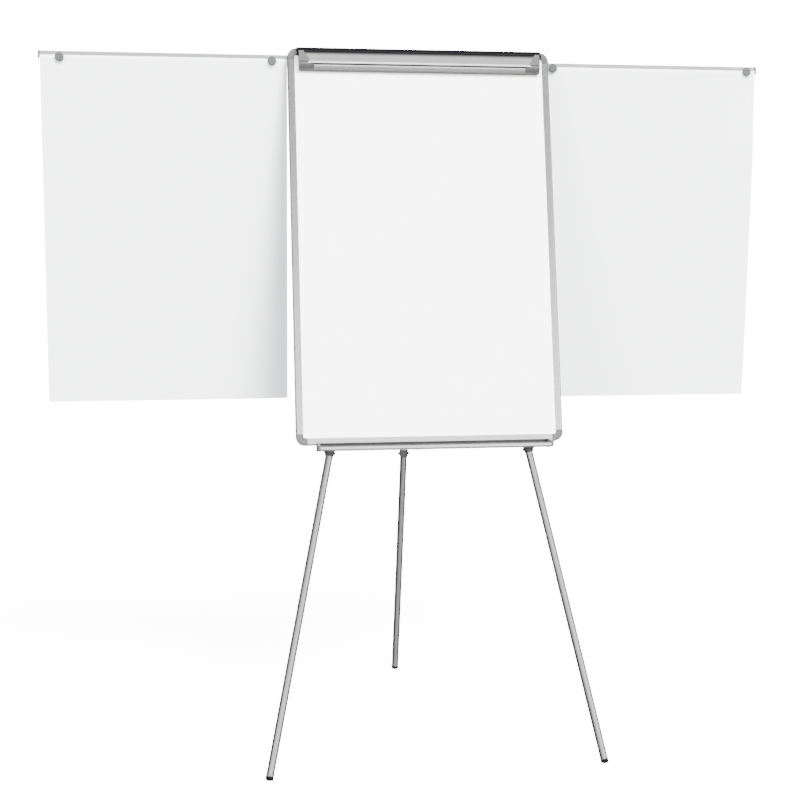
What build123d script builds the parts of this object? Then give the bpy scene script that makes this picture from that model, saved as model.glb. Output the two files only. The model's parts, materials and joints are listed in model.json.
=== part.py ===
from build123d import *
import os
from math import atan2, cos, degrees, hypot, radians, sin

# Flipchart easel: a framed magnetic writing board on three telescopic legs, with a
# sprung paper clamp along the top, a pen tray along the bottom and two arms that
# slide out from behind the board to carry finished sheets.
#
# Millimetres, +Z up, floor at Z = 0, front of the board towards -Y.
# "Board space" is the board stood upright: X across, Y behind the frame's front
# face (called depth), Z up from the board's bottom edge (called height).

# ---------------------------------------------------------------- driving dimensions
BOARD_WIDTH = 672.0
BOARD_HEIGHT = 1000.0
BOARD_LEAN = 14.65            # degrees the top leans back
BOARD_BOTTOM = 783.0          # floor to the bottom edge of the board

RAIL_FACE = 18.0              # width of the frame seen from the front
RAIL_DEPTH = 16.0
RAIL_WALL = 1.6
LIP = 1.8                     # front lip of the rail, over the writing sheet
CHAMBER = 8.8                 # hollow of the rail ends here, from its outer edge
GROOVE = 10.4                 # groove for the panel starts here, from the outer edge
CORNER_RADIUS = 24.0
CORNER_LEG = 28.0             # run of a corner cap along each side
INNER_RADIUS = 6.0

SHEET_STEEL = 0.6
CORE = 9.0
BACKING = 0.4
PANEL_BACK = LIP + SHEET_STEEL + CORE + BACKING
PANEL_EDGE = 11.0             # outer edge of the board to the panel's edge

CLAMP_HALF = 308.0            # half length of the clamp over its end caps
CLAMP_AXIS_FRONT = 10.5       # hinge axis in front of the frame's face
CLAMP_AXIS_HEIGHT = 984.0
CLAMP_ROD_R = 2.0
HUB_R = 6.5

TRAY_CENTRE = 6.0
TRAY_HALF = 287.0
TRAY_DEPTH = 47.0
TRAY_BACK_TOP = 5.0
TRAY_FLOOR = -15.0            # underside of the tray, below the board's bottom edge
TRAY_LIP_TOP = -6.0
TRAY_WALL = 1.8
TRAY_CAP = 6.0

ARM_LENGTH = 670.0
ARM_HEIGHT = 18.0
ARM_THICK = 2.5
LEFT_REACH = 944.0            # board centre to the tip of the left arm
RIGHT_REACH = 907.0
LEFT_ARM_TOP = 988.5
RIGHT_ARM_TOP = 984.5
LEFT_ARM_DEPTH = 24.0         # front face of each arm behind the frame's face
RIGHT_ARM_DEPTH = 35.0
CHANNEL_HALF = 325.0
CHANNEL_WALL = 1.5
MAGNET_R = 11.0
MAGNET_THICK = 5.5

PAPER_WIDTH = 608.0
PAPER_HEIGHT = 866.0
PAPER_THICK = 0.5

TUBE_OUTER_R = 11.0
TUBE_INNER_R = 9.6
TUBE_CLEARANCE = 0.05
TUBE_WALL = 1.2
LEG_DEPTH = 27.5              # axis of the front legs behind the frame's face
HEAD_HEIGHT = 940.0           # where the front legs meet the hub, in board space
HEAD_SPREAD = 49.0
FOOT_SPREAD = 417.3
REAR_REACH = 588.0            # rear foot behind the board's bottom edge
REAR_X = 4.0
PIVOT_DEPTH = 43.0
PIVOT_HEIGHT = 928.0
PIVOT_R = 4.0
FRONT_SPLIT = 800.0           # floor to the end of the outer tube, along the leg
REAR_SPLIT = 676.0
TUBE_OVERLAP = 150.0          # inner tube left inside the outer one when drawn out
FOOT_LENGTH = 9.0
PLUG_RING = 3.0

SCREW_HEAD_R = 3.0
SCREW_HEAD = 1.8
SCREW_R = 1.4
SCREW_LENGTH = 8.0
HOLE_GAP = 0.1                # room around a screw in its hole
FIT_GAP = 0.3                 # room between a moving piece and what it passes

lean = radians(BOARD_LEAN)
half_width = BOARD_WIDTH / 2


# ---------------------------------------------------------------- board space
def swing(depth, height):
    """World Y and Z of a board-space point, before the easel is centred."""
    return (
        height * sin(lean) + depth * cos(lean),
        BOARD_BOTTOM + height * cos(lean) - depth * sin(lean),
    )


foot_height = (LEG_DEPTH * sin(lean) - BOARD_BOTTOM) / cos(lean)
front_foot_y = swing(LEG_DEPTH, foot_height)[0]
CENTRE_X = (LEFT_REACH - RIGHT_REACH) / 2
CENTRE_Y = -(front_foot_y + REAR_REACH) / 2
board_space = Pos(CENTRE_X, CENTRE_Y, BOARD_BOTTOM) * Rot(-BOARD_LEAN, 0, 0)


def block(x0, x1, y0, y1, z0, z1):
    """A box between two corners."""
    return Pos((x0 + x1) / 2, (y0 + y1) / 2, (z0 + z1) / 2) * Box(x1 - x0, y1 - y0, z1 - z0)


def outline(*points):
    """A flat face from the corners of its outline."""
    return make_face(Polyline(*points, close=True))


def closed_face(*curves):
    """A flat face from curves that meet end to end."""
    return make_face([edge for curve in curves for edge in curve.edges()])


def rectangle(x0, x1, y0, y1):
    return Pos((x0 + x1) / 2, (y0 + y1) / 2) * Rectangle(x1 - x0, y1 - y0)


def along_x(section, x0, x1):
    """A section drawn in depth and height, run from x0 to x1."""
    return Pos(x0, 0, 0) * extrude(Plane.YZ * section, amount=x1 - x0)


def through_depth(section, y0, y1):
    """A section drawn in X and Z, run from depth y0 to y1."""
    return Pos(0, y1, 0) * extrude(Plane.XZ * section, amount=y1 - y0)


def tube(outer, inner, z0, z1):
    ring = Circle(outer) - Circle(inner)
    return Pos(0, 0, z0) * extrude(ring, amount=z1 - z0)


def cylinder(radius, z0, z1):
    return Pos(0, 0, z0) * extrude(Circle(radius), amount=z1 - z0)


# ---------------------------------------------------------------- screws
def screw(head_r=SCREW_HEAD_R, head=SCREW_HEAD, shank_r=SCREW_R, length=SCREW_LENGTH):
    """Pan-head cross screw. The underside of its head is at Z = 0."""
    cap = fillet(cylinder(head_r, 0, head).edges().group_by(Axis.Z)[-1], head * 0.6)
    slot = Box(head_r * 1.1, head_r * 0.24, head)
    recess = Pos(0, 0, head) * (slot + Rot(0, 0, 90) * slot)
    return cap - recess + cylinder(shank_r, -length, 0)


def screw_hole(shank_r=SCREW_R, length=SCREW_LENGTH):
    return cylinder(shank_r + HOLE_GAP, -length - 0.5, 0.2)


# Turns a screw's head from +Z to the back (+Y), the front (-Y) or straight down.
HEAD_BACK = Rot(-90, 0, 0)
HEAD_FRONT = Rot(90, 0, 0)
HEAD_DOWN = Rot(180, 0, 0)

rail_middle = (RAIL_WALL + CHAMBER) / 2
corner_screw_run = CORNER_LEG + 16.0
side_screw_x = half_width - rail_middle
end_screw_x = half_width - corner_screw_run
CHANNEL_SCREW_HEIGHT = 995.2
CHANNEL_FLANGE = 1.5
BASE_PLATE = 1.6
BASE_LIP_REACH = 7.0          # the clamp base's lip, in front of the frame's face
BASE_LIP_THICK = 5.5
BASE_SKIRT = 2.2              # thin skirt along the front of the lip
BASE_SKIRT_LOW = 8.0          # bottom of the skirt, below the board's top edge
BASE_SCREW_HEIGHT = 991.3
SADDLE_PLATE = 2.0
TRAY_SCREW_DEPTH = 8.0


def leg_across(height):
    """Distance of a front leg's axis from the middle of the board at a height."""
    share = (HEAD_HEIGHT - height) / (HEAD_HEIGHT - foot_height)
    return HEAD_SPREAD + share * (FOOT_SPREAD - HEAD_SPREAD)


SADDLE_HEIGHT = 6.0
saddle_x = leg_across(SADDLE_HEIGHT)

screw_places = []
for side in (-1, 1):
    for height in (corner_screw_run, BOARD_HEIGHT - corner_screw_run):
        screw_places.append(Pos(side * side_screw_x, RAIL_DEPTH, height) * HEAD_BACK)
    for height in (rail_middle, BOARD_HEIGHT - rail_middle):
        screw_places.append(Pos(side * end_screw_x, RAIL_DEPTH, height) * HEAD_BACK)
    for offset in (-20.0, 20.0):
        place = Pos(side * saddle_x + offset, RAIL_DEPTH + SADDLE_PLATE, rail_middle)
        screw_places.append(place * HEAD_BACK)
    for across in (90.0, 250.0):
        place = Pos(side * across, RAIL_DEPTH + CHANNEL_FLANGE, CHANNEL_SCREW_HEIGHT)
        screw_places.append(place * HEAD_BACK)
    for across in (110.0, 299.0):
        place = Pos(side * across, -BASE_PLATE, BASE_SCREW_HEIGHT)
        screw_places.append(place * HEAD_FRONT)
for offset in (-200.0, 0.0, 200.0):
    place = Pos(TRAY_CENTRE + offset, TRAY_SCREW_DEPTH, -TRAY_WALL)
    screw_places.append(place * HEAD_DOWN)


def frame_screws():
    """All the small screws of the frame, clamp base, tray, saddles and arm channel."""
    return Compound(children=[place * screw() for place in screw_places])


frame_holes = Compound(children=[place * screw_hole() for place in screw_places])


# ---------------------------------------------------------------- board
def panel(y0, y1):
    edge = half_width - PANEL_EDGE
    return block(-edge, edge, y0, y1, PANEL_EDGE, BOARD_HEIGHT - PANEL_EDGE)


def rail_section():
    """Extruded rail, X from its outer edge and Y in depth: a hollow bar with a
    groove that takes the edge of the panel, and two fine lines on its face."""
    bar = rectangle(0, GROOVE + RAIL_WALL, 0, RAIL_DEPTH)
    outer_corners = bar.vertices().group_by(Axis.X)[0].sort_by(Axis.Y)
    bar = fillet(outer_corners[0], 5.0)
    bar = fillet(bar.vertices().filter_by_position(Axis.X, -0.1, 0.1).sort_by(Axis.Y)[-1], 3.0)
    bar += rectangle(GROOVE, RAIL_FACE, 0, LIP)
    bar += rectangle(GROOVE, RAIL_FACE, PANEL_BACK, PANEL_BACK + RAIL_WALL)
    bar -= rectangle(RAIL_WALL, CHAMBER, LIP, RAIL_DEPTH - RAIL_WALL)
    bar -= rectangle(GROOVE, RAIL_FACE + 1, LIP, PANEL_BACK)
    for line in (7.6, 13.4):
        bar -= rectangle(line, line + 0.7, -1, 0.4)
    return bar


def rail(half_span, length):
    """A rail standing on end, its outer edge at X = -half_span."""
    section = Pos(-half_span, 0) * rail_section()
    return Pos(0, 0, -length / 2) * extrude(section, amount=length)


JOINT_GAP = 0.3
side_length = BOARD_HEIGHT - 2 * (CORNER_LEG + JOINT_GAP)
end_length = BOARD_WIDTH - 2 * (CORNER_LEG + JOINT_GAP)
board_middle = Pos(0, 0, BOARD_HEIGHT / 2)


def frame_rails():
    upright = rail(half_width, side_length)
    level = rail(BOARD_HEIGHT / 2, end_length)
    rails = {
        "frame_rail_left": board_middle * upright,
        "frame_rail_right": board_middle * Rot(0, 180, 0) * upright,
        "frame_rail_top": board_middle * Rot(0, 90, 0) * level,
        "frame_rail_bottom": board_middle * Rot(0, -90, 0) * level,
    }
    return {name: shape - frame_holes for name, shape in rails.items()}


def corner_plan(inner, inner_radius):
    """L-shaped plan of a corner, legs along +X and +Z, rounded outside and inside."""
    square = rectangle(0, CORNER_LEG, 0, CORNER_LEG)
    outer = square.vertices().sort_by(Axis.X)[:2].sort_by(Axis.Y)[0]
    plan = fillet(outer, CORNER_RADIUS)
    plan -= rectangle(inner, CORNER_LEG + 1, inner, CORNER_LEG + 1)
    if inner_radius:
        reach = inner + inner_radius
        bridge = rectangle(inner, reach, inner, reach) - Pos(reach, reach) * Circle(inner_radius)
        plan += bridge
    return plan


def corner_cap():
    """Moulded corner: two plates that hold the panel, and two tongues that plug
    into the hollow of the rails."""
    cap = through_depth(corner_plan(RAIL_FACE, INNER_RADIUS), 0, LIP)
    cap += through_depth(corner_plan(GROOVE, 0), LIP, PANEL_BACK)
    cap += through_depth(corner_plan(RAIL_FACE, INNER_RADIUS), PANEL_BACK, RAIL_DEPTH)
    front_edges = cap.edges().group_by(Axis.Y)[0].filter_by(GeomType.CIRCLE)
    outer_arc = front_edges.sort_by(SortBy.RADIUS)[-1]
    cap = fillet(outer_arc, 2.0)
    near, far = RAIL_WALL + FIT_GAP, CHAMBER - FIT_GAP
    front, back = LIP + FIT_GAP, RAIL_DEPTH - RAIL_WALL - FIT_GAP
    tongue_end = CORNER_LEG + 22.0
    cap += block(CORNER_LEG - 4, tongue_end, front, back, near, far)
    cap += block(near, far, front, back, CORNER_LEG - 4, tongue_end)
    return cap


def corner_caps():
    places = {
        "corner_cap_bottom_left": Pos(-half_width, 0, 0),
        "corner_cap_top_left": Pos(-half_width, 0, BOARD_HEIGHT) * Rot(0, 90, 0),
        "corner_cap_top_right": Pos(half_width, 0, BOARD_HEIGHT) * Rot(0, 180, 0),
        "corner_cap_bottom_right": Pos(half_width, 0, 0) * Rot(0, 270, 0),
    }
    cap = corner_cap()
    return {name: place * cap - frame_holes for name, place in places.items()}


# ---------------------------------------------------------------- clamp
# The clamp's sections are drawn around its hinge axis: X in front of the axis, Y up.
# in_clamp turns such a section into depth and height.
def in_clamp(section):
    flipped = mirror(section, about=Plane.YZ)
    return Pos(-CLAMP_AXIS_FRONT, CLAMP_AXIS_HEIGHT) * flipped


CLAMP_WALL = 2.2
RIDGE = -22.5                 # the ridge across the clamp, below the axis
BELLY = 10.0                  # how far the ridge stands in front of the axis
NOSE_X = -7.5                 # the flange's lower edge, from the axis
NOSE_Y = -43.5
clamp_top = HUB_R


def clamp_front(inset):
    """Convex upper face of the clamp, drawn inset from the outside."""
    return EllipticalCenterArc(
        (0, RIDGE), BELLY - inset, clamp_top - RIDGE - inset, start_angle=0, arc_size=90
    )


def clamp_section():
    """Hub, convex upper face, ridge with a groove under it, and the flange that
    slopes back to the paper."""
    outer = clamp_front(0)
    inner = clamp_front(CLAMP_WALL)
    crest = Polyline(
        outer @ 0,
        (BELLY, RIDGE - 1.2),
        (BELLY - 1.4, RIDGE - 2.1),
        (BELLY - 2.0, RIDGE - 3.7),
        (BELLY - 0.8, RIDGE - 5.1),
        (BELLY - 0.8, RIDGE - 9.1),
    )
    flange = ThreePointArc(crest @ 1, (2.3, -38.9), (NOSE_X, NOSE_Y))
    nose = Line(flange @ 1, (NOSE_X - 1.3, NOSE_Y + 1.8))
    under = ThreePointArc(nose @ 1, (1.1, -36.9), (BELLY - 3.4, RIDGE - 7.6))
    back = Polyline(under @ 1, (BELLY - 4.4, RIDGE - 3.6), inner @ 0)
    top = Line(inner @ 1, outer @ 1)
    shell = closed_face(outer, crest, flange, nose, under, back, inner, top)
    return shell + Circle(HUB_R) - Circle(CLAMP_ROD_R + TUBE_CLEARANCE)


def clamp_side_section():
    """Closed end wall of the clamp, as seen from its side."""
    outer = clamp_front(0)
    rest = Polyline(
        outer @ 0,
        (BELLY, RIDGE - 1.2),
        (BELLY - 0.8, RIDGE - 9.1),
        (NOSE_X + 1.0, NOSE_Y + 0.6),
        (NOSE_X - 1.3, NOSE_Y + 1.8),
        (-HUB_R + 0.6, -2.0),
        outer @ 1,
    )
    return closed_face(outer, rest) + Circle(HUB_R) - Circle(CLAMP_ROD_R + TUBE_CLEARANCE)


def cap_region(side):
    """Everything beyond the slanted line where an end cap meets the bar."""
    def at(run, height):
        return (side * (CLAMP_HALF - run), height)

    beyond = at(-20, 0)[0]
    ridge_height = CLAMP_AXIS_HEIGHT + RIDGE
    face = outline(
        (beyond, 1005.0),
        at(11, 1005.0),
        at(11, CLAMP_AXIS_HEIGHT + 5),
        at(28, ridge_height),
        at(22, ridge_height - 3.5),
        at(22, ridge_height - 6),
        at(38, ridge_height - 9),
        at(38, 930.0),
        (beyond, 930.0),
    )
    return through_depth(face, -60, 20)


SPRING_AT = 150.0
SPRING_ROOM = 14.0


def clamp_pieces():
    full = along_x(in_clamp(clamp_section()), -CLAMP_HALF, CLAMP_HALF)
    bar = full
    pieces = {}
    for name, side in (("left", -1), ("right", 1)):
        region = cap_region(side)
        bar -= region
        inner_face = side * (CLAMP_HALF - 2.5)
        wall = along_x(
            in_clamp(clamp_side_section()),
            min(inner_face, side * CLAMP_HALF),
            max(inner_face, side * CLAMP_HALF),
        )
        pieces["clamp_end_cap_" + name] = full & region
        pieces["clamp_end_cap_" + name] += wall
        pocket_x = side * SPRING_AT
        bar -= block(
            pocket_x - SPRING_ROOM / 2,
            pocket_x + SPRING_ROOM / 2,
            -CLAMP_AXIS_FRONT - 4.2,
            0,
            CLAMP_AXIS_HEIGHT - 9.0,
            CLAMP_AXIS_HEIGHT + 4.2,
        )
    pieces["clamp_bar"] = bar
    return pieces


def clamp_grip_strip():
    """Rubber strip behind the flange, which presses the pad to the board."""
    face = -CLAMP_AXIS_FRONT - LIP + 0.2
    section = outline(
        (face, -42.9), (-9.7, -42.9), (-8.95, -41.6), (-5.5, -38.6), (-6.5, -36.6), (face, -37.6)
    )
    return along_x(in_clamp(section), -CLAMP_HALF + 3, CLAMP_HALF - 3)


def base_section():
    """Hinge rail on the top rail of the frame: a plate and a rounded lip over the hub."""
    top = BOARD_HEIGHT
    under = top - BASE_LIP_THICK
    section = rectangle(-BASE_PLATE, 0, top - RAIL_FACE, top)
    lip = rectangle(-BASE_LIP_REACH, 0, under, top)
    lip += rectangle(-BASE_LIP_REACH, -BASE_LIP_REACH + BASE_SKIRT, top - BASE_SKIRT_LOW, under)
    front = lip.vertices().group_by(Axis.X)[0].sort_by(Axis.Y)[-1]
    return section + fillet(front, 2.0)


BRACKET_START = 290.0
BRACKET_EAR = 308.6
BRACKET_END = 312.6


def clamp_base():
    end = BRACKET_START - JOINT_GAP
    return along_x(base_section(), -end, end) - frame_holes


def clamp_brackets():
    """Two end brackets: each has an ear that holds the hinge rod."""
    rod = Circle(CLAMP_ROD_R + 0.02)
    ear = Circle(6.0) + rectangle(-CLAMP_AXIS_FRONT, 0, -2.0, 6.0)
    ear_face = in_clamp(ear - rod)
    brackets = []
    for side in (-1, 1):
        ends = sorted((side * BRACKET_START, side * BRACKET_END))
        ears = sorted((side * BRACKET_EAR, side * BRACKET_END))
        bracket = along_x(base_section(), *ends) + along_x(ear_face, *ears)
        brackets.append(bracket - frame_holes)
    return Compound(children=brackets)


def clamp_hinge_rod():
    place = Pos(0, -CLAMP_AXIS_FRONT, CLAMP_AXIS_HEIGHT)
    end = BRACKET_END + 1.0
    return place * Rot(0, 90, 0) * chamfer(
        cylinder(CLAMP_ROD_R, -end, end).edges().filter_by(GeomType.CIRCLE), 0.4
    )


def clamp_springs():
    """Two torsion springs around the hinge rod, one leg on the base, one in the bar."""
    wire, coil_r, pitch, turns = 0.5, 3.1, 1.3, 7
    springs = []
    for side in (-1, 1):
        start = side * SPRING_AT - pitch * turns / 2
        helix = Helix(pitch=pitch, height=pitch * turns, radius=coil_r)
        section = Plane(origin=helix @ 0, z_dir=helix % 0) * Circle(wire)
        coil = sweep(section, path=helix)
        tail = Pos(coil_r, 0, 0) * Rot(90, 0, 0) * cylinder(wire, 0, 7.5)
        head = Pos(coil_r, 0, pitch * turns) * Rot(-90, 0, 0) * cylinder(wire, 0, 3.0)
        place = Pos(start, -CLAMP_AXIS_FRONT, CLAMP_AXIS_HEIGHT) * Rot(0, 90, 0)
        springs.append(place * Rot(0, 0, 90) * (coil + tail + head))
    return Compound(children=springs)


HOOK_RAIL_FRONT = -1.4
HOOK_HEIGHT = 971.0
HOOK_AT = 240.0
HOOK_SLOT = (190.0, 290.0)


def hook_rail():
    """Flat rail under the clamp with a stepped slot for each pad hook."""
    bar = block(-300, 300, HOOK_RAIL_FRONT, LIP, 962, 980)
    for side in (-1, 1):
        ends = sorted((side * HOOK_SLOT[0], side * HOOK_SLOT[1]))
        bar -= block(*ends, -3, 3, HOOK_HEIGHT - 2.0, HOOK_HEIGHT + 2.0)
        bar -= block(*ends, 0.3, 3, HOOK_HEIGHT - 5.0, HOOK_HEIGHT + 5.0)
    return bar


def pad_hook(side):
    """Peg that slides in the hook rail and carries the holes of a pad."""
    flange = cylinder(4.6, 0.5, 1.5)
    neck = cylinder(1.8, -1.7, 0.6)
    peg = cylinder(3.8, -9.5, -1.7)
    peg = fillet(peg.edges().group_by(Axis.Z)[0], 1.5)
    turn = Rot(-90, 0, 0)
    return Pos(side * HOOK_AT, 0, HOOK_HEIGHT) * turn * (flange + neck + peg)


# ---------------------------------------------------------------- pen tray
def tray_section():
    back = rectangle(-TRAY_WALL, 0, TRAY_FLOOR, TRAY_BACK_TOP)
    floor = rectangle(-TRAY_DEPTH, 0, TRAY_FLOOR, TRAY_FLOOR + TRAY_WALL)
    lip = rectangle(-TRAY_DEPTH, -TRAY_DEPTH + TRAY_WALL, TRAY_FLOOR, TRAY_LIP_TOP)
    bead = Pos(-TRAY_DEPTH + 1.3, TRAY_LIP_TOP) * Circle(1.3)
    flange = rectangle(-TRAY_WALL, 14, -TRAY_WALL, 0)
    trough = back + floor + lip
    front_low = trough.vertices().group_by(Axis.X)[0].sort_by(Axis.Y)[0]
    return fillet(front_low, 2.6) + bead + flange


def pen_tray():
    start, end = TRAY_CENTRE - TRAY_HALF, TRAY_CENTRE + TRAY_HALF
    return along_x(tray_section(), start, end) - frame_holes


def tray_end_cap(side):
    """Moulded end of the tray: a rounded wall and a low plug that sits in the trough."""
    wall = outline(
        (0, TRAY_FLOOR - 0.8),
        (0, TRAY_BACK_TOP + 0.8),
        (-4, TRAY_BACK_TOP + 0.8),
        (-TRAY_DEPTH - 0.8, TRAY_LIP_TOP + 2.0),
        (-TRAY_DEPTH - 0.8, TRAY_FLOOR - 0.8),
    )
    fronts = wall.vertices().group_by(Axis.X)[0]
    wall = fillet(fronts, 2.0)
    plug = rectangle(
        -TRAY_DEPTH + 4, -TRAY_WALL - 0.3, TRAY_FLOOR + TRAY_WALL + 0.1, TRAY_LIP_TOP - 3
    )
    tip = TRAY_CENTRE + side * (TRAY_HALF + TRAY_CAP)
    root = TRAY_CENTRE + side * TRAY_HALF
    inner = root - side * 5.0
    cap = along_x(wall, min(tip, root), max(tip, root))
    cap = fillet(cap.faces().sort_by(Axis.X)[-1 if side > 0 else 0].edges(), 1.2)
    return cap + along_x(plug, min(root, inner), max(root, inner))


# ---------------------------------------------------------------- arms and sheets
def track_section(arm_depth, arm_top, front_edge, magnet_top):
    """One track of the arm channel: it wraps the arm from above and carries it from
    below, and leaves the lower front of the arm free for the magnets to pass."""
    wall = CHANNEL_WALL
    back = arm_depth + ARM_THICK + FIT_GAP + 0.1
    top = arm_top + 0.4
    low = arm_top - ARM_HEIGHT - FIT_GAP
    web = rectangle(front_edge, back + wall, top, top + 2.3)
    lip = rectangle(arm_depth - 2.0, arm_depth - 0.4, magnet_top + 0.3, top + 2.3)
    rib = rectangle(back, back + wall, low - 2.2, top + 2.3)
    shelf = rectangle(arm_depth + 0.3, back + wall, low - 2.2, low)
    return web + lip + rib + shelf


LEFT_MAGNET_HEIGHT = 972.0
RIGHT_MAGNET_HEIGHT = 970.3


def arm_channel():
    left_back = LEFT_ARM_DEPTH + ARM_THICK + FIT_GAP + 0.1
    section = track_section(
        LEFT_ARM_DEPTH, LEFT_ARM_TOP, RAIL_DEPTH, LEFT_MAGNET_HEIGHT + MAGNET_R
    )
    section += track_section(
        RIGHT_ARM_DEPTH, RIGHT_ARM_TOP, left_back, RIGHT_MAGNET_HEIGHT + MAGNET_R
    )
    channel = along_x(section, -CHANNEL_HALF, CHANNEL_HALF)
    flange_low = LEFT_ARM_TOP + 0.4
    channel += block(
        -280, 280, RAIL_DEPTH, RAIL_DEPTH + CHANNEL_FLANGE, flange_low, BOARD_HEIGHT - 1
    )
    return channel - frame_holes


def arm(side):
    if side < 0:
        start, depth, top = -LEFT_REACH, LEFT_ARM_DEPTH, LEFT_ARM_TOP
    else:
        start, depth, top = RIGHT_REACH - ARM_LENGTH, RIGHT_ARM_DEPTH, RIGHT_ARM_TOP
    bar = block(start, start + ARM_LENGTH, depth, depth + ARM_THICK, top - ARM_HEIGHT, top)
    return chamfer(bar.edges().filter_by(Axis.X), 0.4)


def arm_end_cap(side):
    """Plastic cap pushed over the tip of an arm, just past the edge of the sheet."""
    if side < 0:
        tip, depth, top = LEFT_REACH, LEFT_ARM_DEPTH, LEFT_ARM_TOP
    else:
        tip, depth, top = RIGHT_REACH, RIGHT_ARM_DEPTH, RIGHT_ARM_TOP
    front, back = depth - 1.4, depth + ARM_THICK + 1.4
    shell = block(tip - 0.6, tip + 4.0, front, back, top - ARM_HEIGHT - 1.0, top + 1.0)
    shell = fillet(shell.faces().sort_by(Axis.X)[-1].edges(), 0.8)
    socket = block(tip - 2, tip + 0.05, depth - 0.05, depth + ARM_THICK + 0.05, top - 19, top + 0.05)
    cap = shell - socket
    return cap if side > 0 else mirror(cap, about=Plane.YZ)


PAPER_LEFT = (-LEFT_REACH + 1.0, -LEFT_REACH + 1.0 + PAPER_WIDTH)
PAPER_RIGHT = (RIGHT_REACH - 1.0 - PAPER_WIDTH, RIGHT_REACH - 1.0)


# Each magnet's middle, in from the near edge of its sheet.
LEFT_MAGNETS_IN = (47.0, 38.0)
RIGHT_MAGNETS_IN = (58.0, 23.0)


def magnets(side):
    """Two round magnets that hold a sheet to its arm."""
    if side < 0:
        sheet, depth, height = PAPER_LEFT, LEFT_ARM_DEPTH, LEFT_MAGNET_HEIGHT
        inset = LEFT_MAGNETS_IN
    else:
        sheet, depth, height = PAPER_RIGHT, RIGHT_ARM_DEPTH, RIGHT_MAGNET_HEIGHT
        inset = RIGHT_MAGNETS_IN
    places = (sheet[0] + inset[0], sheet[1] - inset[1])
    body = cylinder(MAGNET_R, -MAGNET_THICK, 0)
    body = fillet(body.edges().group_by(Axis.Z)[0], 1.2)
    turned = Rot(-90, 0, 0) * body
    rest = depth - 0.65
    return Compound(children=[Pos(x, rest, height) * turned for x in places])


def paper_sheet(side):
    """Sheet of flipchart paper: its top edge lies on the arm, the rest hangs plumb."""
    if side < 0:
        (start, end), depth, top = PAPER_LEFT, LEFT_ARM_DEPTH, LEFT_ARM_TOP
    else:
        (start, end), depth, top = PAPER_RIGHT, RIGHT_ARM_DEPTH, RIGHT_ARM_TOP
    back = depth - 0.1
    front = back - PAPER_THICK
    edge, bend = top - 9.0, top - ARM_HEIGHT - 2.0
    low = swing(front, edge)[1] - PAPER_HEIGHT
    section = outline(
        swing(front, edge),
        swing(back, edge),
        swing(back, bend),
        (swing(back, bend)[0], low),
        (swing(front, bend)[0], low),
        swing(front, bend),
    )
    return Pos(CENTRE_X, CENTRE_Y, 0) * along_x(section, start, end)


# ---------------------------------------------------------------- legs
splay = atan2(FOOT_SPREAD - HEAD_SPREAD, HEAD_HEIGHT - foot_height)
front_length = hypot(FOOT_SPREAD - HEAD_SPREAD, HEAD_HEIGHT - foot_height)


def front_leg_space(side):
    """Leg space of a front leg: Z runs up the tube from the floor, X across it."""
    foot = Pos(side * FOOT_SPREAD, LEG_DEPTH, foot_height)
    return board_space * foot * Rot(0, -side * degrees(splay), 0)


pivot_y, pivot_z = swing(PIVOT_DEPTH, PIVOT_HEIGHT)
rear_tilt = atan2(REAR_REACH - pivot_y, pivot_z)
rear_length = hypot(REAR_REACH - pivot_y, pivot_z)
rear_leg_space = Pos(CENTRE_X + REAR_X, CENTRE_Y + REAR_REACH, 0) * Rot(degrees(rear_tilt), 0, 0)


def outer_tube(split, top):
    return tube(TUBE_OUTER_R, TUBE_INNER_R + TUBE_CLEARANCE, split, top)


def inner_tube(split):
    start = FOOT_LENGTH + PLUG_RING
    return tube(TUBE_INNER_R, TUBE_INNER_R - TUBE_WALL, start, split + TUBE_OVERLAP)


COLLAR_BELOW = 6.0
COLLAR_ABOVE = 15.0
COLLAR_R = 12.2
LUG_REACH = 12.5
GRIP = 2.6                    # how far a rubber tip stands out from its lug
LUG_HALF = 3.2                # half width of a lug, around the collar
LUG_LOW = 0.2                 # bottom and top of a lug above the tube's end
LUG_HIGH = 6.2


def lock_collar(split, turn):
    """Twist lock over the end of the outer tube: a tapered ring with two lugs."""
    low, high = split - COLLAR_BELOW, split + COLLAR_ABOVE
    outer = outline(
        (0, low),
        (TUBE_INNER_R + 1.0, low),
        (COLLAR_R, low + 4.5),
        (COLLAR_R, split + 9),
        (COLLAR_R - 0.7, split + 10),
        (COLLAR_R - 0.7, high),
        (0, high),
    )
    body = revolve(Plane.XZ * outer, axis=Axis.Z)
    lugs = block(-LUG_REACH, LUG_REACH, -LUG_HALF, LUG_HALF, split + LUG_LOW, split + LUG_HIGH)
    body += fillet(lugs.edges().filter_by(Axis.X), 1.0)
    body -= cylinder(TUBE_INNER_R + 0.1, low - 1, high + 1)
    body -= cylinder(TUBE_OUTER_R + 0.1, split - 0.2, high + 1)
    return Rot(0, 0, turn) * body


def collar_grips(split, turn):
    """Two rubber tips on the lugs of a lock collar."""
    low, high = split + LUG_LOW, split + LUG_HIGH
    tip = block(LUG_REACH, LUG_REACH + GRIP, -LUG_HALF, LUG_HALF, low, high)
    tip = fillet(tip.edges().filter_by(Axis.X), 1.4)
    tip = fillet(tip.faces().sort_by(Axis.X)[-1].edges(), 0.9)
    pair = [tip, Rot(0, 0, 180) * tip]
    return Compound(children=[Rot(0, 0, turn) * one for one in pair])


def foot_plug():
    """Plastic plug in the end of the inner tube, with a stud for the rubber foot."""
    ring = cylinder(TUBE_INNER_R + 0.2, FOOT_LENGTH, FOOT_LENGTH + PLUG_RING)
    ring = fillet(ring.edges(), 0.8)
    plug = cylinder(TUBE_INNER_R - TUBE_WALL - 0.1, FOOT_LENGTH + 1, FOOT_LENGTH + 20)
    return ring + plug + cylinder(4.0, 4.0, FOOT_LENGTH + 1)


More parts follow.
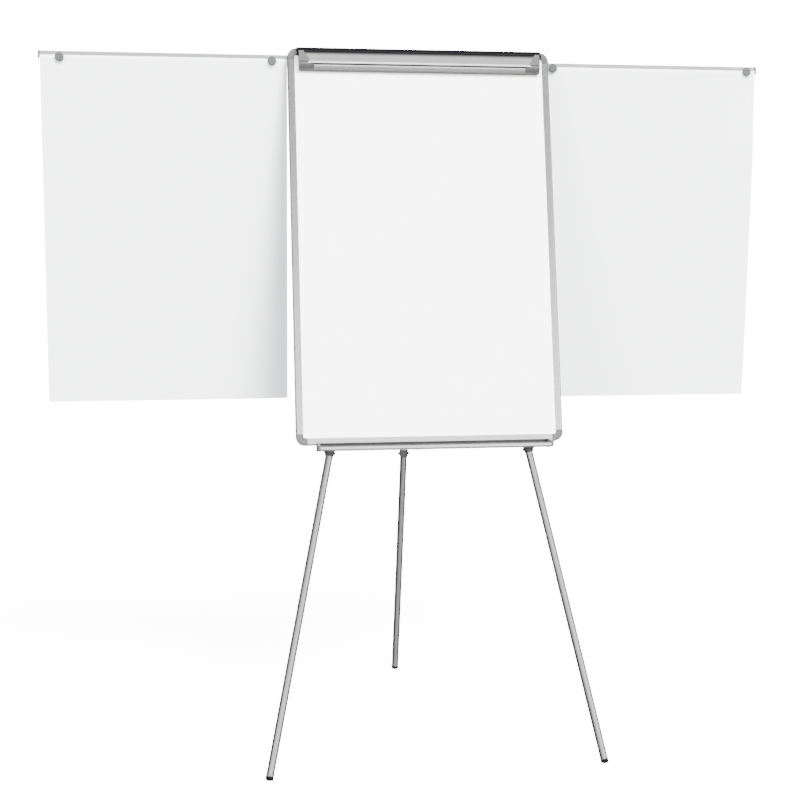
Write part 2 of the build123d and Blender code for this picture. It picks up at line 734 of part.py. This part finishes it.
def rubber_foot(leg_space):
    """Blunt domed foot, cut level where it stands on the floor."""
    dome = cylinder(TUBE_INNER_R + 0.3, -1.6, FOOT_LENGTH)
    dome = fillet(dome.edges().group_by(Axis.Z)[0], 5.5)
    dome -= cylinder(4.05, 3.9, FOOT_LENGTH + 1)
    floor = Box(4000, 4000, 100, align=(Align.CENTER, Align.CENTER, Align.MAX))
    return leg_space * dome - floor


# ---------------------------------------------------------------- head
PLATE_THICK = 2.4
plate_back = PANEL_BACK + PLATE_THICK
HUB_WEB = 5.3
web_back = plate_back + HUB_WEB
HUB_TOP = 950.0
HUB_SCREW = dict(head_r=3.8, head=2.4, shank_r=2.0, length=14.0)
HUB_SCREW_HALF = 27.0
hub_screw_places = []
for side in (-1, 1):
    for height in (898.5, 943.5):
        place = Pos(REAR_X + side * HUB_SCREW_HALF, web_back, height)
        hub_screw_places.append(place * HEAD_BACK)


def hub_holes():
    hole = screw_hole(HUB_SCREW["shank_r"], HUB_SCREW["length"])
    return Compound(children=[place * hole for place in hub_screw_places])


def hub_screws():
    return Compound(children=[place * screw(**HUB_SCREW) for place in hub_screw_places])


EAR_GAP = 12.8
EAR_THICK = 4.0


def leg_hub():
    """Cast hub on the back of the board: sockets for the front legs and two ears
    for the pivot of the rear leg."""
    hub = block(-68, 68, plate_back, web_back, 890, HUB_TOP)
    hub = fillet(hub.edges().filter_by(Axis.Y), 8.0)
    for side in (-1, 1):
        axis = Pos(side * FOOT_SPREAD, LEG_DEPTH, foot_height) * Rot(0, -side * degrees(splay), 0)
        socket = axis * cylinder(14.0, front_length - 46, front_length + 6)
        hub += socket
        hub -= axis * cylinder(TUBE_OUTER_R + HOLE_GAP, front_length - 60, front_length + 0.2)
    ear = Pos(PIVOT_DEPTH, PIVOT_HEIGHT) * Circle(11.0)
    ear += rectangle(web_back - 1, PIVOT_DEPTH, PIVOT_HEIGHT - 11, PIVOT_HEIGHT + 11)
    ear -= Pos(PIVOT_DEPTH, PIVOT_HEIGHT) * Circle(PIVOT_R + HOLE_GAP)
    for near in (REAR_X - EAR_GAP - EAR_THICK, REAR_X + EAR_GAP):
        hub += along_x(ear, near, near + EAR_THICK)
    trim = block(-200, 200, -50, plate_back, 800, 1000)
    return hub - trim - hub_holes()


def head_plate():
    plate = block(-74, 74, PANEL_BACK, plate_back, 884, 954)
    return fillet(plate.edges().filter_by(Axis.Y), 10.0) - hub_holes()


pivot_place = Pos(REAR_X, PIVOT_DEPTH, PIVOT_HEIGHT) * Rot(0, 90, 0)
BOLT_SPAN = EAR_GAP + EAR_THICK


def rear_pivot_bolt():
    head = cylinder(7.0, BOLT_SPAN, BOLT_SPAN + 4.0)
    head = fillet(head.edges().group_by(Axis.Z)[-1], 2.2)
    return pivot_place * (cylinder(PIVOT_R, -BOLT_SPAN - 8, BOLT_SPAN + 1) + head)


def rear_pivot_nut():
    hexagon = extrude(RegularPolygon(6.5, 6, major_radius=False), amount=6.0)
    nut = Pos(0, 0, -BOLT_SPAN - 6.0) * hexagon - cylinder(PIVOT_R + HOLE_GAP, -60, 60)
    return pivot_place * nut


KNUCKLE_HALF = EAR_GAP - 0.3
KNUCKLE_SOCKET = 48.0


def rear_leg_knuckle():
    """Pivot end of the rear leg. Its nose meets the hub when the leg is out, which
    stops the leg there. Drawn in the rear leg's own space."""
    pivot = rear_length
    barrel = cylinder(TUBE_OUTER_R - 1.45, pivot - KNUCKLE_SOCKET, pivot - 15)
    eye = Pos(0, 0, pivot) * Rot(0, 90, 0) * cylinder(13.0, -KNUCKLE_HALF, KNUCKLE_HALF)
    neck = block(-KNUCKLE_HALF, KNUCKLE_HALF, -11, 11, pivot - 18, pivot)
    shape = rear_leg_space * (barrel + eye + neck)
    reach = web_back + 0.15 - PIVOT_DEPTH
    nose_face = outline((0, 12.5), (reach, 17), (reach, 3), (-4, -11), (6, -6))
    nose = Pos(PIVOT_DEPTH, PIVOT_HEIGHT) * nose_face
    shape += board_space * along_x(nose, REAR_X - 9.0, REAR_X + 9.0)
    bore = pivot_place * cylinder(PIVOT_R + 0.06, -40, 40)
    return shape - board_space * bore


def leg_saddles():
    """Two saddles that hold the front legs to the bottom rail."""
    saddles = []
    for side in (-1, 1):
        axis = Pos(side * FOOT_SPREAD, LEG_DEPTH, foot_height) * Rot(0, -side * degrees(splay), 0)
        centre = front_length - (HEAD_HEIGHT - SADDLE_HEIGHT) / cos(splay)
        middle = side * saddle_x
        flange = block(
            middle - 26, middle + 26, RAIL_DEPTH, RAIL_DEPTH + SADDLE_PLATE, 0.5, 10.0
        )
        strap = axis * cylinder(13.4, centre - 5.5, centre + 5.5)
        cheek = block(middle - 13, middle + 13, RAIL_DEPTH, LEG_DEPTH, 1.5, 9.5)
        saddle = fillet(flange.edges().filter_by(Axis.Y), 3.0) + strap + cheek
        saddle -= axis * cylinder(TUBE_OUTER_R + HOLE_GAP, centre - 60, centre + 60)
        saddle -= block(middle - 60, middle + 60, -20, RAIL_DEPTH, -60, 60)
        saddles.append(saddle - frame_holes)
    return Compound(children=saddles)


# ---------------------------------------------------------------- assembly
def build():
    """Every piece by name, in its place."""
    on_board = {
        "writing_sheet": panel(LIP, LIP + SHEET_STEEL),
        "board_core": panel(LIP + SHEET_STEEL, PANEL_BACK - BACKING) - hub_holes(),
        "backing_sheet": panel(PANEL_BACK - BACKING, PANEL_BACK) - hub_holes(),
        "frame_screws": frame_screws(),
        "clamp_base": clamp_base(),
        "clamp_brackets": clamp_brackets(),
        "clamp_hinge_rod": clamp_hinge_rod(),
        "clamp_springs": clamp_springs(),
        "clamp_grip_strip": clamp_grip_strip(),
        "hook_rail": hook_rail(),
        "pen_tray": pen_tray(),
        "arm_channel": arm_channel(),
        "head_plate": head_plate(),
        "leg_hub": leg_hub(),
        "hub_screws": hub_screws(),
        "rear_pivot_bolt": rear_pivot_bolt(),
        "rear_pivot_nut": rear_pivot_nut(),
        "leg_saddles": leg_saddles(),
    }
    on_board.update(frame_rails())
    on_board.update(corner_caps())
    on_board.update(clamp_pieces())
    for name, side in (("left", -1), ("right", 1)):
        on_board["pad_hook_" + name] = pad_hook(side)
        on_board["tray_end_cap_" + name] = tray_end_cap(side)
        on_board["arm_" + name] = arm(side)
        on_board["arm_end_cap_" + name] = arm_end_cap(side)
        on_board["magnets_" + name] = magnets(side)
    pieces = {name: board_space * shape for name, shape in on_board.items()}

    pieces["paper_sheet_left"] = paper_sheet(-1)
    pieces["paper_sheet_right"] = paper_sheet(1)
    pieces["rear_leg_knuckle"] = rear_leg_knuckle()
    legs = (
        ("front_left", front_leg_space(-1), FRONT_SPLIT, front_length, 18.0),
        ("front_right", front_leg_space(1), FRONT_SPLIT, front_length, -14.0),
        ("rear", rear_leg_space, REAR_SPLIT, rear_length - 19.0, 0.0),
    )
    for name, space, split, top, turn in legs:
        pieces[name + "_outer_tube"] = space * outer_tube(split, top)
        pieces[name + "_inner_tube"] = space * inner_tube(split)
        pieces[name + "_lock_collar"] = space * lock_collar(split, turn)
        pieces[name + "_collar_grips"] = space * collar_grips(split, turn)
        pieces[name + "_foot_plug"] = space * foot_plug()
        pieces[name + "_rubber_foot"] = rubber_foot(space)
    return pieces


def main():
    os.makedirs("parts", exist_ok=True)
    for name, shape in build().items():
        export_step(shape, f"parts/{name}.step")


main()
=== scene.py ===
"""Looks for the flipchart easel: materials for the CAD pieces, two hanging sheets of
paper, a pale studio and the camera. Metres, same frame as the CAD."""

import json
import math

import bpy
from mathutils import Matrix, Vector


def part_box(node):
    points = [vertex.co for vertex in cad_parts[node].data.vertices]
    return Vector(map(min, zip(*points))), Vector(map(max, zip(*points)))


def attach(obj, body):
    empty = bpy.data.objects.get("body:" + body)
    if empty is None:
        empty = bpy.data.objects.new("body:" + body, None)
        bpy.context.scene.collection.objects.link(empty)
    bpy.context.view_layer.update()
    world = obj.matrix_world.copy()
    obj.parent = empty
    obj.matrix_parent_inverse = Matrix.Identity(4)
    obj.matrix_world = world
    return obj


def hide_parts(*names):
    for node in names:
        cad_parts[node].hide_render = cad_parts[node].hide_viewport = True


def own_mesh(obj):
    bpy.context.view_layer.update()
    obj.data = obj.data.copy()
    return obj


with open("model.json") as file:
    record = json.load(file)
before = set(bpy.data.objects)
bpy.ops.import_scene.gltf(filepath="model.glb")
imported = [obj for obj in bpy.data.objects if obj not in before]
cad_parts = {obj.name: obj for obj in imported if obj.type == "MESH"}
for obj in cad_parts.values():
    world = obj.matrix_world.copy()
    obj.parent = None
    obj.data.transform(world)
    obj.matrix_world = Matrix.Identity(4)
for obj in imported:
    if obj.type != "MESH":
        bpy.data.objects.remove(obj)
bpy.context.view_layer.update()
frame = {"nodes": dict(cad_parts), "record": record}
nodes = frame["nodes"]

# The board leans back from the point (BOARD_Y, BOARD_Z) at its bottom front edge.
LEAN = math.radians(14.65)
BOARD_Y = -0.2059
BOARD_Z = 0.783

# Where most values of a noise texture lie.
NOISE_LOW = 0.3
NOISE_HIGH = 0.7


# ------------------------------------------------------------------ materials
def new_material(name):
    mat = bpy.data.materials.new(name)
    mat.use_nodes = True
    tree = mat.node_tree
    shader = tree.nodes["Principled BSDF"]
    return mat, tree, shader


def object_coordinates(tree, scale=(1, 1, 1), rotation=(0, 0, 0)):
    """Object coordinates, in metres, turned and stretched."""
    coord = tree.nodes.new("ShaderNodeTexCoord")
    mapping = tree.nodes.new("ShaderNodeMapping")
    mapping.inputs["Rotation"].default_value = rotation
    mapping.inputs["Scale"].default_value = scale
    tree.links.new(coord.outputs["Object"], mapping.inputs["Vector"])
    return mapping.outputs["Vector"]


def noise(tree, vector, scale, detail=3.0, roughness=0.55):
    node = tree.nodes.new("ShaderNodeTexNoise")
    node.inputs["Scale"].default_value = scale
    node.inputs["Detail"].default_value = detail
    node.inputs["Roughness"].default_value = roughness
    tree.links.new(vector, node.inputs["Vector"])
    return node.outputs["Fac"]


def ramp(tree, value, stops):
    """Colour ramp from (position, colour) stops."""
    node = tree.nodes.new("ShaderNodeValToRGB")
    elements = node.color_ramp.elements
    while len(elements) > len(stops):
        elements.remove(elements[-1])
    while len(elements) < len(stops):
        elements.new(0.5)
    for element, (position, colour) in zip(elements, stops):
        element.position = position
        element.color = (*colour, 1.0)
    tree.links.new(value, node.inputs["Fac"])
    return node.outputs["Color"]


def grey(level):
    return (level, level, level)


def shade_of(colour, factor):
    return tuple(min(1.0, c * factor) for c in colour)


def combine(tree, first, second, blend="MULTIPLY"):
    """Product of two colours, or their sum with blend "ADD"."""
    mix = tree.nodes.new("ShaderNodeMix")
    mix.data_type = "RGBA"
    mix.blend_type = blend
    mix.inputs["Factor"].default_value = 1.0
    tree.links.new(first, mix.inputs["A"])
    tree.links.new(second, mix.inputs["B"])
    return mix.outputs["Result"]


def vary_colour(tree, shader, value, colour, spread, painted_shading=None):
    """Base colour that wanders by +-spread with a noise value, times any painted highlights and
    shade given.
    """
    stops = [(0.35, shade_of(colour, 1 - spread)), (0.65, shade_of(colour, 1 + spread))]
    shade = ramp(tree, value, stops)
    if painted_shading:
        shade = combine(tree, shade, painted_shading(tree))
    tree.links.new(shade, shader.inputs["Base Color"])


def along(tree, direction, start, end):
    """0 to 1 between two places along a board direction: "up" is the height above the
    board's bottom edge, "back" the depth behind its front face."""
    coord = tree.nodes.new("ShaderNodeTexCoord")
    dot = tree.nodes.new("ShaderNodeVectorMath")
    dot.operation = "DOT_PRODUCT"
    axis = (0, math.sin(LEAN), math.cos(LEAN))
    if direction == "back":
        axis = (0, math.cos(LEAN), -math.sin(LEAN))
    dot.inputs[1].default_value = axis
    tree.links.new(coord.outputs["Object"], dot.inputs[0])
    base = BOARD_Y * axis[1] + BOARD_Z * axis[2]
    node = tree.nodes.new("ShaderNodeMapRange")
    node.inputs["From Min"].default_value = base + start
    node.inputs["From Max"].default_value = base + end
    tree.links.new(dot.outputs["Value"], node.inputs["Value"])
    return node.outputs["Result"]


def painted_shade_on_sides(tree):
    """Painted shade: grey that falls off on faces looking left or right."""
    geometry = tree.nodes.new("ShaderNodeNewGeometry")
    split = tree.nodes.new("ShaderNodeSeparateXYZ")
    size = tree.nodes.new("ShaderNodeMath")
    size.operation = "ABSOLUTE"
    tree.links.new(geometry.outputs["Normal"], split.inputs["Vector"])
    tree.links.new(split.outputs["X"], size.inputs[0])
    return ramp(tree, size.outputs["Value"], [(0.35, grey(1.0)), (0.75, grey(0.25))])


def clamp_highlight_and_shade(tree):
    """Painted highlights and shade up the clamp, standing in for what its ribs and grooves
    reflect: dull flange, bright line, groove, bright ridge, satin face, and a painted dark band of
    shade under the lip."""
    low, high = 0.940, 0.990
    stops = [
        (0.940, 0.06), (0.9425, 0.10), (0.946, 0.45), (0.9485, 0.8), (0.9495, 1.6),
        (0.9515, 1.6), (0.9522, 0.05), (0.9555, 0.06), (0.9562, 1.7), (0.960, 1.7),
        (0.9615, 1.1), (0.976, 1.0), (0.981, 0.45), (0.985, 0.05),
    ]
    scaled = [((height - low) / (high - low), grey(level)) for height, level in stops]
    return ramp(tree, along(tree, "up", low, high), scaled)


def tray_painted_shade(tree):
    """Painted shade on the tray, standing in for what it reflects: dull at the back of the
    trough and above the face of the lip."""
    depth = ramp(tree, along(tree, "back", -0.05, 0.0), [(0.82, grey(1.0)), (0.90, grey(0.35))])
    rise = along(tree, "up", -0.015, 0.005)
    stops = [(0.05, grey(0.9)), (0.15, grey(1.0)), (0.32, grey(1.0)), (0.40, grey(0.25))]
    height = ramp(tree, rise, stops)
    return combine(tree, depth, height)


def vary_roughness(tree, shader, value, low, high):
    node = tree.nodes.new("ShaderNodeMapRange")
    node.inputs["From Min"].default_value = NOISE_LOW
    node.inputs["From Max"].default_value = NOISE_HIGH
    node.inputs["To Min"].default_value = low
    node.inputs["To Max"].default_value = high
    tree.links.new(value, node.inputs["Value"])
    tree.links.new(node.outputs["Result"], shader.inputs["Roughness"])


def bump(tree, shader, value, distance, strength=1.0):
    node = tree.nodes.new("ShaderNodeBump")
    node.inputs["Strength"].default_value = strength
    node.inputs["Distance"].default_value = distance
    tree.links.new(value, node.inputs["Height"])
    tree.links.new(node.outputs["Normal"], shader.inputs["Normal"])


def extruded_metal(name, colour, die_axis, rough=(0.30, 0.42), rotation=(0, 0, 0), painted_shading=None):
    """Satin anodised aluminium with fine die lines along one axis. The last argument may give
    a grey of painted highlights and shade that lightens or darkens parts of it."""
    mat, tree, shader = new_material(name)
    shader.inputs["Metallic"].default_value = 1.0
    scale = [1400.0, 1400.0, 1400.0]
    scale["XYZ".index(die_axis)] = 6.0
    lines = noise(tree, object_coordinates(tree, scale, rotation), 1.0, 2.0)
    cloud = noise(tree, object_coordinates(tree), 9.0, 3.0)
    vary_colour(tree, shader, cloud, colour, 0.02, painted_shading)
    vary_roughness(tree, shader, lines, *rough)
    bump(tree, shader, lines, 0.000005, 0.5)
    return mat


def satin_tube(name, colour, rough=(0.24, 0.32)):
    """Drawn tube with a satin coat: faint cloudy tone and an even sheen."""
    mat, tree, shader = new_material(name)
    shader.inputs["Metallic"].default_value = 1.0
    cloud = noise(tree, object_coordinates(tree), 14.0, 4.0)
    speck = noise(tree, object_coordinates(tree), 900.0, 2.0)
    vary_colour(tree, shader, cloud, colour, 0.03)
    vary_roughness(tree, shader, cloud, *rough)
    bump(tree, shader, speck, 0.000004, 0.4)
    return mat


def moulded_plastic(name, colour, rough=(0.42, 0.55), grain=0.00004, shine=0.25):
    """Moulded plastic or rubber with a fine spark-eroded grain."""
    mat, tree, shader = new_material(name)
    shader.inputs["Specular IOR Level"].default_value = shine
    grains = noise(tree, object_coordinates(tree), 2600.0, 2.0)
    cloud = noise(tree, object_coordinates(tree), 30.0, 3.0)
    vary_colour(tree, shader, cloud, colour, 0.04)
    vary_roughness(tree, shader, grains, *rough)
    bump(tree, shader, grains, grain, 0.6)
    return mat


def silver_plastic(name, colour, rough=(0.40, 0.52)):
    """Moulding sprayed silver grey to match the metal beside it."""
    mat, tree, shader = new_material(name)
    shader.inputs["Metallic"].default_value = 0.85
    grains = noise(tree, object_coordinates(tree), 2200.0, 2.0)
    cloud = noise(tree, object_coordinates(tree), 30.0, 3.0)
    vary_colour(tree, shader, cloud, colour, 0.03)
    vary_roughness(tree, shader, grains, *rough)
    bump(tree, shader, grains, 0.00003, 0.6)
    return mat


def painted_metal(name, colour, rough=(0.32, 0.42), peel=0.00002):
    """Sprayed or powder-coated metal with a slight orange peel."""
    mat, tree, shader = new_material(name)
    cells = noise(tree, object_coordinates(tree), 500.0, 2.0)
    cloud = noise(tree, object_coordinates(tree), 6.0, 2.0)
    vary_colour(tree, shader, cloud, colour, 0.012)
    vary_roughness(tree, shader, cloud, *rough)
    bump(tree, shader, cells, peel, 0.5)
    return mat


def plated_steel(name, colour, rough=(0.25, 0.4)):
    mat, tree, shader = new_material(name)
    shader.inputs["Metallic"].default_value = 1.0
    cloud = noise(tree, object_coordinates(tree), 160.0, 4.0)
    vary_colour(tree, shader, cloud, colour, 0.08)
    vary_roughness(tree, shader, cloud, *rough)
    return mat


def fibreboard(name, colour):
    mat, tree, shader = new_material(name)
    fibres = noise(tree, object_coordinates(tree, (1, 6, 1)), 700.0, 4.0)
    vary_colour(tree, shader, fibres, colour, 0.2)
    vary_roughness(tree, shader, fibres, 0.8, 0.95)
    bump(tree, shader, fibres, 0.0001, 0.7)
    return mat


def paper(name, colour):
    """Uncoated paper: faint fibre clouding and a soft tooth."""
    mat, tree, shader = new_material(name)
    clouds = noise(tree, object_coordinates(tree), 140.0, 5.0, 0.6)
    tooth = noise(tree, object_coordinates(tree), 2400.0, 3.0)
    vary_colour(tree, shader, clouds, colour, 0.008)
    vary_roughness(tree, shader, tooth, 0.75, 0.88)
    bump(tree, shader, tooth, 0.00003, 0.4)
    return mat


finishes = {
    "white_enamel": painted_metal("white_enamel", (0.90, 0.90, 0.885), (0.22, 0.30), 0.000008),
    "core_board": fibreboard("core_board", (0.42, 0.32, 0.22)),
    "galvanised": plated_steel("galvanised", (0.50, 0.51, 0.52)),
    # anodised, clamp_metal and tray_metal carry painted highlights and shade.
    "anodised": extruded_metal(
        "anodised", (0.52, 0.52, 0.522), "Z", (0.22, 0.32), (LEAN, 0, 0), painted_shade_on_sides
    ),
    "anodised_level": extruded_metal("anodised_level", (0.62, 0.62, 0.622), "X"),
    "clamp_metal": extruded_metal("clamp_metal", (0.60, 0.60, 0.603), "X", painted_shading=clamp_highlight_and_shade),
    "tray_metal": extruded_metal("tray_metal", (0.60, 0.60, 0.603), "X", painted_shading=tray_painted_shade),
    "grey_plastic": moulded_plastic("grey_plastic", (0.052, 0.052, 0.0525)),
    "dark_plastic": moulded_plastic("dark_plastic", (0.09, 0.09, 0.095)),
    "black_plastic": moulded_plastic("black_plastic", (0.003, 0.003, 0.003), (0.6, 0.7), shine=0.06),
    "black_rubber": moulded_plastic("black_rubber", (0.003, 0.003, 0.003), (0.75, 0.85), shine=0.06),
    "magnet_grey": moulded_plastic("magnet_grey", (0.045, 0.046, 0.047), (0.25, 0.35), 0.00001),
    "bright_steel": plated_steel("bright_steel", (0.62, 0.62, 0.63), (0.15, 0.25)),
    "screw_steel": plated_steel("screw_steel", (0.46, 0.46, 0.47)),
    "painted_steel": silver_plastic("painted_steel", (0.45, 0.45, 0.455), (0.32, 0.42)),
    "cast_grey": painted_metal("cast_grey", (0.28, 0.28, 0.29), (0.45, 0.6), 0.00008),
    "leg_paint": satin_tube("leg_paint", (0.28, 0.28, 0.281)),
    "leg_bright": satin_tube("leg_bright", (0.27, 0.27, 0.271)),
    "paper": paper("paper", (0.74, 0.755, 0.78)),
}


def paint(node, mat):
    obj = nodes[node]
    if not obj.material_slots:
        obj.data.materials.append(mat)
    for slot in obj.material_slots:
        slot.material = mat


# Extrusions that run level have their die lines along X; the clamp and tray also have painted
# highlights and shade of their own.
LEVEL_FINISHES = {
    "frame_rail_top": "anodised_level",
    "frame_rail_bottom": "anodised_level",
    "arm_channel": "anodised_level",
    "clamp_bar": "clamp_metal",
    "pen_tray": "tray_metal",
}
for subpart in frame["record"]["subparts"]:
    name = subpart["node"]
    paint(name, finishes[LEVEL_FINISHES.get(name, subpart["material_slot"])])


# ------------------------------------------------------------------ paper
COLUMNS = 48
ROWS = 72
ROW_CROWDING = 1.35    # above 1, rows lie closer together near the top
PAPER_THICK = 0.00025
PAPER_GAP = 0.0006     # paper stands this far behind the front of its slab
PAPER_LAP = 0.0105     # height of the part that lies on the leaning arm
LEFT_FOLD = 0.003
LEFT_BELLY = 0.003
RIGHT_EDGE = 0.014
RIGHT_CURL = 0.004
RIGHT_BELLY = 0.008


def hanging_sheet(name, node, body, shape):
    """A sheet of paper over its CAD slab: lies on the arm, bends and hangs plumb.
    shape(across, down) gives how far the paper stands behind the plumb line."""
    low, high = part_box(node)
    width = high[0] - low[0]
    height = high[2] - low[2]
    top_y, plumb_y = high[1], low[1]
    bottom_layer = []
    points = []
    for row in range(ROWS + 1):
        share = row / ROWS
        down = height * share ** ROW_CROWDING
        for column in range(COLUMNS + 1):
            across = column / COLUMNS
            lean_back = (top_y - plumb_y) * max(0.0, 1 - down / PAPER_LAP) ** 2
            y = plumb_y + PAPER_GAP + lean_back + shape(across, down / height)
            points.append((low[0] + width * across, y, high[2] - down))
    count = len(points)
    points += [(x, y + PAPER_THICK, z) for x, y, z in points]
    step = COLUMNS + 1
    faces = []
    for row in range(ROWS):
        for column in range(COLUMNS):
            a = row * step + column
            b, c, d = a + 1, a + step + 1, a + step
            faces.append((a, d, c, b))
            faces.append((a + count, b + count, c + count, d + count))
    rim = [(r * step, (r + 1) * step) for r in range(ROWS)]
    rim += [((r + 1) * step + COLUMNS, r * step + COLUMNS) for r in range(ROWS)]
    rim += [(c + 1, c) for c in range(COLUMNS)]
    rim += [(ROWS * step + c, ROWS * step + c + 1) for c in range(COLUMNS)]
    faces += [(a, a + count, b + count, b) for a, b in rim]
    mesh = bpy.data.meshes.new(name)
    mesh.from_pydata(points, [], faces)
    mesh.validate()
    mesh.update()
    for polygon in mesh.polygons:
        polygon.use_smooth = polygon.index < ROWS * COLUMNS * 2
    mesh.set_sharp_from_angle(angle=math.radians(40))
    sheet = bpy.data.objects.new(name, mesh)
    bpy.context.scene.collection.objects.link(sheet)
    sheet.data.materials.append(finishes["paper"])
    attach(sheet, body)
    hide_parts(node)
    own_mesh(sheet)
    return sheet


def smooth(value, start, end):
    """Rises gently from 0 at start to 1 at end."""
    share = min(1.0, max(0.0, (value - start) / (end - start)))
    return share * share * (3 - 2 * share)


def left_shape(across, down):
    """Bellies forward, and folds back a little beside the board."""
    fold = smooth(across, 1.02 - 0.26 * down, 1.16 - 0.16 * down)
    belly = math.sin(math.pi * across) * smooth(down, 0.1, 1.0)
    return LEFT_FOLD * fold * smooth(down, 0.25, 0.8) - LEFT_BELLY * belly


def right_shape(across, down):
    """Bellies forward, its outer edge further, with the low outer corner curled back."""
    edge = -smooth(across, 0.70, 1.02) * smooth(down, 0.02, 0.30)
    curl = smooth(across, 0.80, 1.0) * smooth(down, 0.88, 1.0)
    belly = math.sin(math.pi * across) * smooth(down, 0.1, 1.0)
    return RIGHT_EDGE * edge + RIGHT_CURL * curl - RIGHT_BELLY * belly


hanging_sheet("hanging_paper_left", "paper_sheet_left", "arm_out_left", left_shape)
hanging_sheet(
    "hanging_paper_right", "paper_sheet_right", "arm_out_right", right_shape
)


# ------------------------------------------------------------------ studio
SWEEP_GLOW = 9.0
ROOM_LIGHT = 6.0
# Room light by direction, as (place from 0 to 1, level): front to back, left to
# right and low to high.
ROOM_FRONT_TO_BACK = [
    (0.0, 0.85), (0.12, 1.0), (0.22, 1.0), (0.33, 0.35), (0.42, 0.08), (1.0, 0.04),
]
ROOM_LEFT_TO_RIGHT = [(0.0, 0.45), (0.4, 0.9), (0.6, 1.0), (1.0, 1.0)]
ROOM_LOW_TO_HIGH = [
    (0.0, 0.24), (0.36, 0.32), (0.46, 0.6), (0.52, 1.0), (0.64, 1.0), (0.68, 0.55),
    (0.72, 0.20), (0.76, 0.06), (0.80, 0.08), (0.86, 0.36), (0.94, 0.45), (1.0, 0.40),
]
# The lamp behind the easel and its light on the floor, in the same form.
BACK_LAMP_FRONT_TO_BACK = [(0.66, 0.0), (0.82, 0.30), (1.0, 0.35)]
BACK_LAMP_LOW_TO_HIGH = [
    (0.0, 0.7), (0.30, 0.7), (0.38, 0.08), (0.46, 0.08), (0.56, 0.8), (0.84, 1.0), (1.0, 0.4),
]


def studio_sweep():
    """Round floor that curves up into a wall a long way off on every side."""
    turn_at, radius, height, sides = 9.0, 3.0, 16.0, 72
    profile = [(turn_at, 0.0)]
    for step in range(1, 13):
        angle = math.radians(90 * step / 12)
        profile.append((turn_at + radius * math.sin(angle), radius * (1 - math.cos(angle))))
    profile.append((turn_at + radius, height))
    points = []
    for reach, z in profile:
        for side in range(sides):
            turn = math.tau * side / sides
            points.append((reach * math.cos(turn), reach * math.sin(turn), z))
    faces = [tuple(range(sides))]
    for ring in range(len(profile) - 1):
        for side in range(sides):
            a = ring * sides + side
            b = ring * sides + (side + 1) % sides
            faces.append((b, a, a + sides, b + sides))
    mesh = bpy.data.meshes.new("studio_sweep")
    mesh.from_pydata(points, [], faces)
    for polygon in mesh.polygons:
        polygon.use_smooth = True
    sweep = bpy.data.objects.new("studio_sweep", mesh)
    bpy.context.scene.collection.objects.link(sweep)
    mat, tree, shader = new_material("studio_sweep")
    shader.inputs["Base Color"].default_value = (0.93, 0.93, 0.93, 1)
    shader.inputs["Roughness"].default_value = 0.95
    shader.inputs["Specular IOR Level"].default_value = 0.1
    shader.inputs["Emission Color"].default_value = (1, 1, 1, 1)
    shader.inputs["Emission Strength"].default_value = SWEEP_GLOW
    sweep.data.materials.append(mat)
    sweep.visible_diffuse = False
    sweep.visible_glossy = False
    sweep.visible_shadow = False


def world_light():
    """Room light: brightest low in front of the easel, dim overhead and behind it,
    with a lamp high up behind and its light on the floor there."""
    world = bpy.data.worlds.new("studio")
    world.use_nodes = True
    tree = world.node_tree
    coord = tree.nodes.new("ShaderNodeTexCoord")
    split = tree.nodes.new("ShaderNodeSeparateXYZ")
    tree.links.new(coord.outputs["Generated"], split.inputs["Vector"])
    behind = room_level(tree, split.outputs["Y"], ROOM_FRONT_TO_BACK)
    across = room_level(tree, split.outputs["X"], ROOM_LEFT_TO_RIGHT)
    above = room_level(tree, split.outputs["Z"], ROOM_LOW_TO_HIGH)
    lighting = tree.nodes["Background"]
    lighting.inputs["Strength"].default_value = ROOM_LIGHT
    room = combine(tree, combine(tree, behind, across), above)
    back = room_level(tree, split.outputs["Y"], BACK_LAMP_FRONT_TO_BACK)
    back = combine(tree, back, room_level(tree, split.outputs["Z"], BACK_LAMP_LOW_TO_HIGH))
    room = combine(tree, room, back, "ADD")
    tree.links.new(room, lighting.inputs["Color"])
    bpy.context.scene.world = world


def room_level(tree, value, levels):
    """Grey of the room along one axis, where value runs from -1 to 1."""
    node = tree.nodes.new("ShaderNodeMapRange")
    node.inputs["From Min"].default_value = -1.0
    tree.links.new(value, node.inputs["Value"])
    return ramp(tree, node.outputs["Result"], [(place, grey(level)) for place, level in levels])


def sun_light(name, direction, strength, spread):
    """Wide soft light from far away, shining along a direction. Gloss doesn't see it:
    metal reflects the room light only."""
    data = bpy.data.lights.new(name, "SUN")
    data.energy = strength
    data.angle = math.radians(spread)
    light = bpy.data.objects.new(name, data)
    bpy.context.scene.collection.objects.link(light)
    light.rotation_euler = Vector(direction).to_track_quat("-Z", "Y").to_euler()
    light.visible_glossy = False


studio_sweep()
world_light()
sun_light("key_light", (-0.30, 0.59, -0.75), 23.0, 26)
sun_light("left_light", (0.66, 0.50, -0.50), 6.0, 16)
sun_light("back_light", (0.15, -0.80, -0.55), 14.0, 40)


# ------------------------------------------------------------------ camera
def camera(place, yaw, pitch, roll, lens):
    """Yaw turns towards +X from +Y, pitch looks down, roll tips the head."""
    forward = Vector(
        (
            math.sin(yaw) * math.cos(pitch),
            math.cos(yaw) * math.cos(pitch),
            -math.sin(pitch),
        )
    )
    level = Vector((math.cos(yaw), -math.sin(yaw), 0))
    upright = level.cross(forward)
    right = level * math.cos(roll) + upright * math.sin(roll)
    up = upright * math.cos(roll) - level * math.sin(roll)
    turn = Matrix((right, up, -forward)).transposed().to_4x4()
    data = bpy.data.cameras.new("camera")
    data.sensor_width = 36.0
    data.lens = lens
    data.clip_end = 100.0
    view = bpy.data.objects.new("camera", data)
    bpy.context.scene.collection.objects.link(view)
    view.matrix_world = Matrix.Translation(place) @ turn
    bpy.context.scene.camera = view


camera(
    (-0.6312, -3.8418, 1.4799),
    math.radians(8.90),
    math.radians(9.16),
    math.radians(0.55),
    67.79,
)
